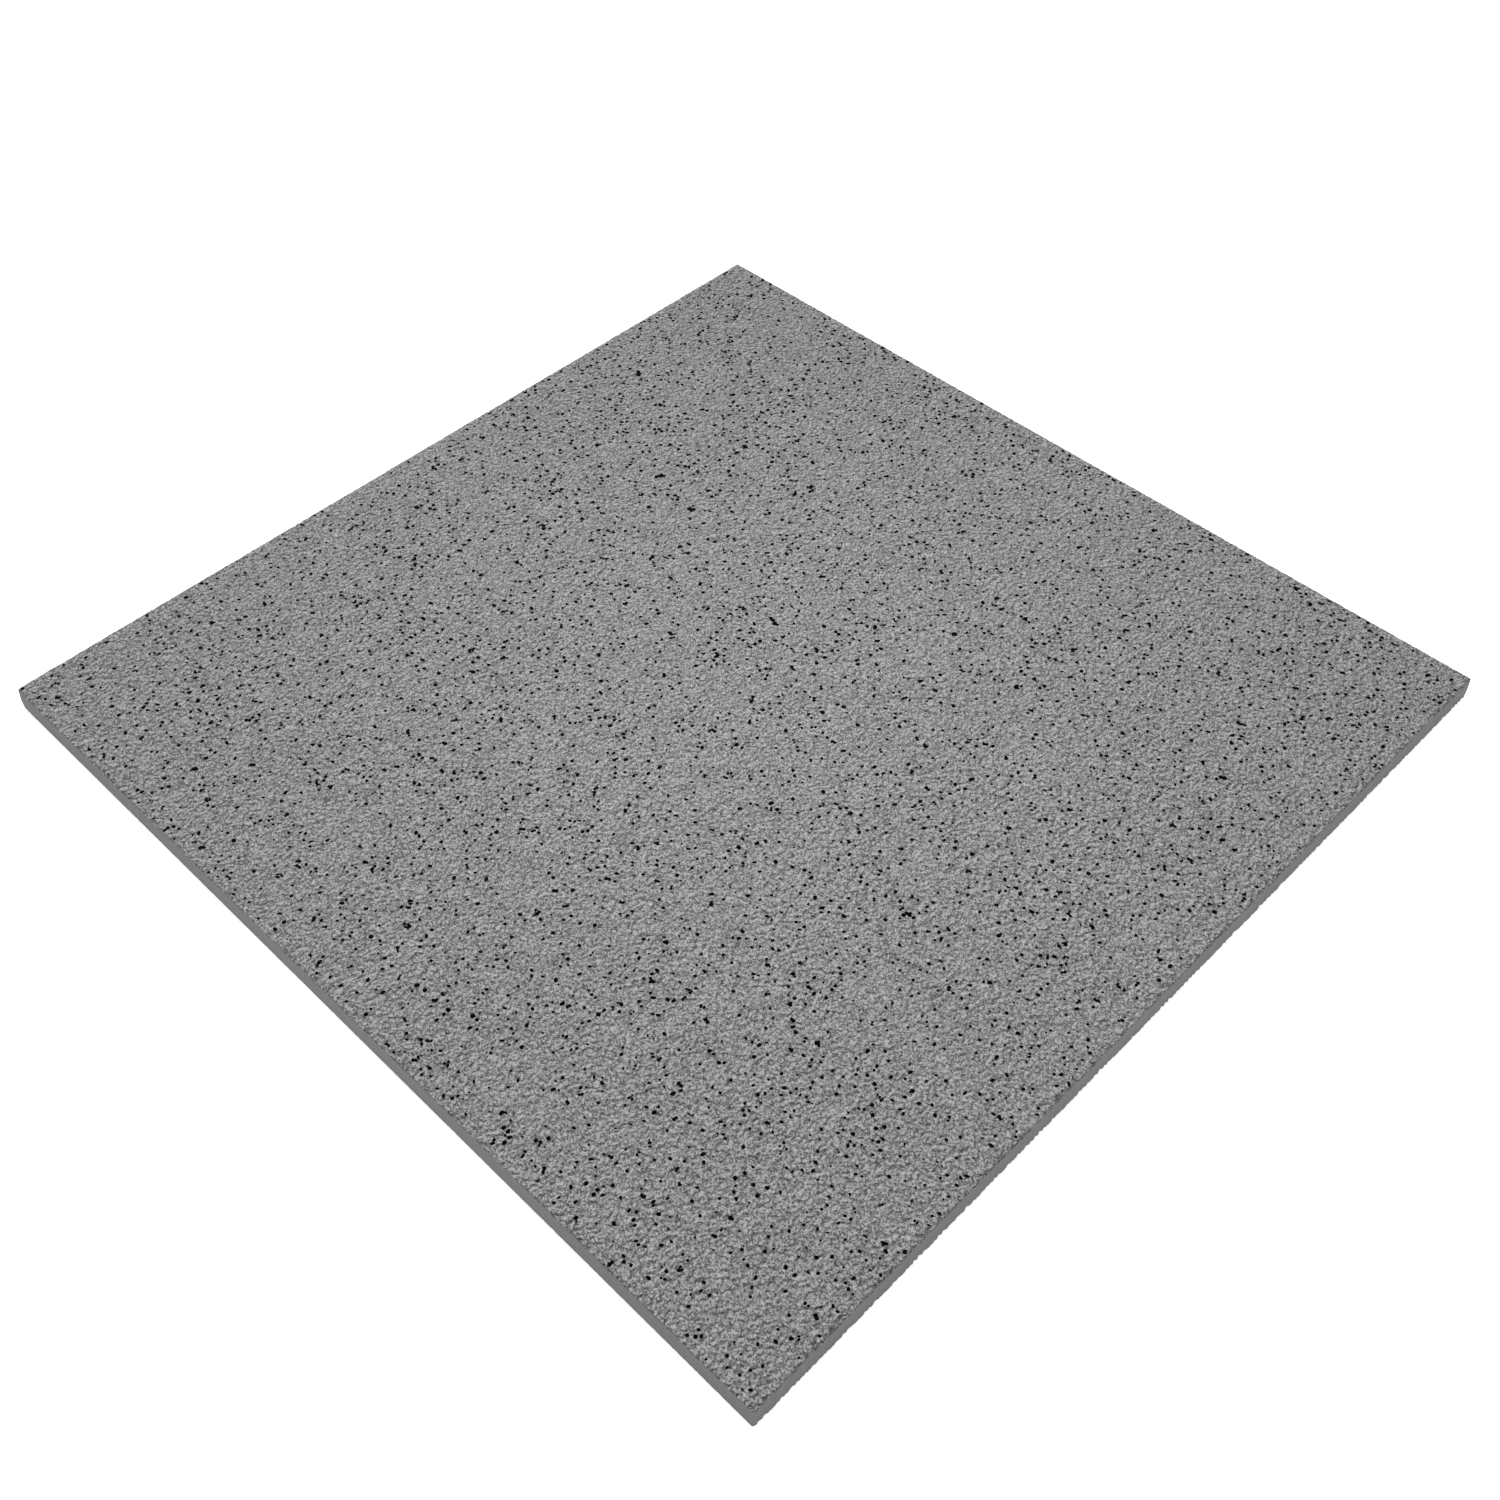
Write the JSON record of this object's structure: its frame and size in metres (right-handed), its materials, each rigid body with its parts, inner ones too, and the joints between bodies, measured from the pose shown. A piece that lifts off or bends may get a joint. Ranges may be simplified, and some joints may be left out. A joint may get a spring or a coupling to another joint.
{
  "type": "floor tile",
  "caption": "Square pressed stoneware floor tile with a flat, finely grained grey face, softened arrises, drafted edges and a keyed back for adhesive.",
  "frame": {"origin": "middle of the back, on the bedding plane", "axes": "+Z out of the wearing face; X and Y along the edges"},
  "size_m": [0.298, 0.298, 0.008],
  "materials": {
    "stoneware": "unglazed, finely grained and matt, full of small black granules",
    "granules": "unglazed black, matt, flush with the face"
  },
  "bodies": {
    "root": {"tile": "stoneware"}
  },
  "joints": []
}
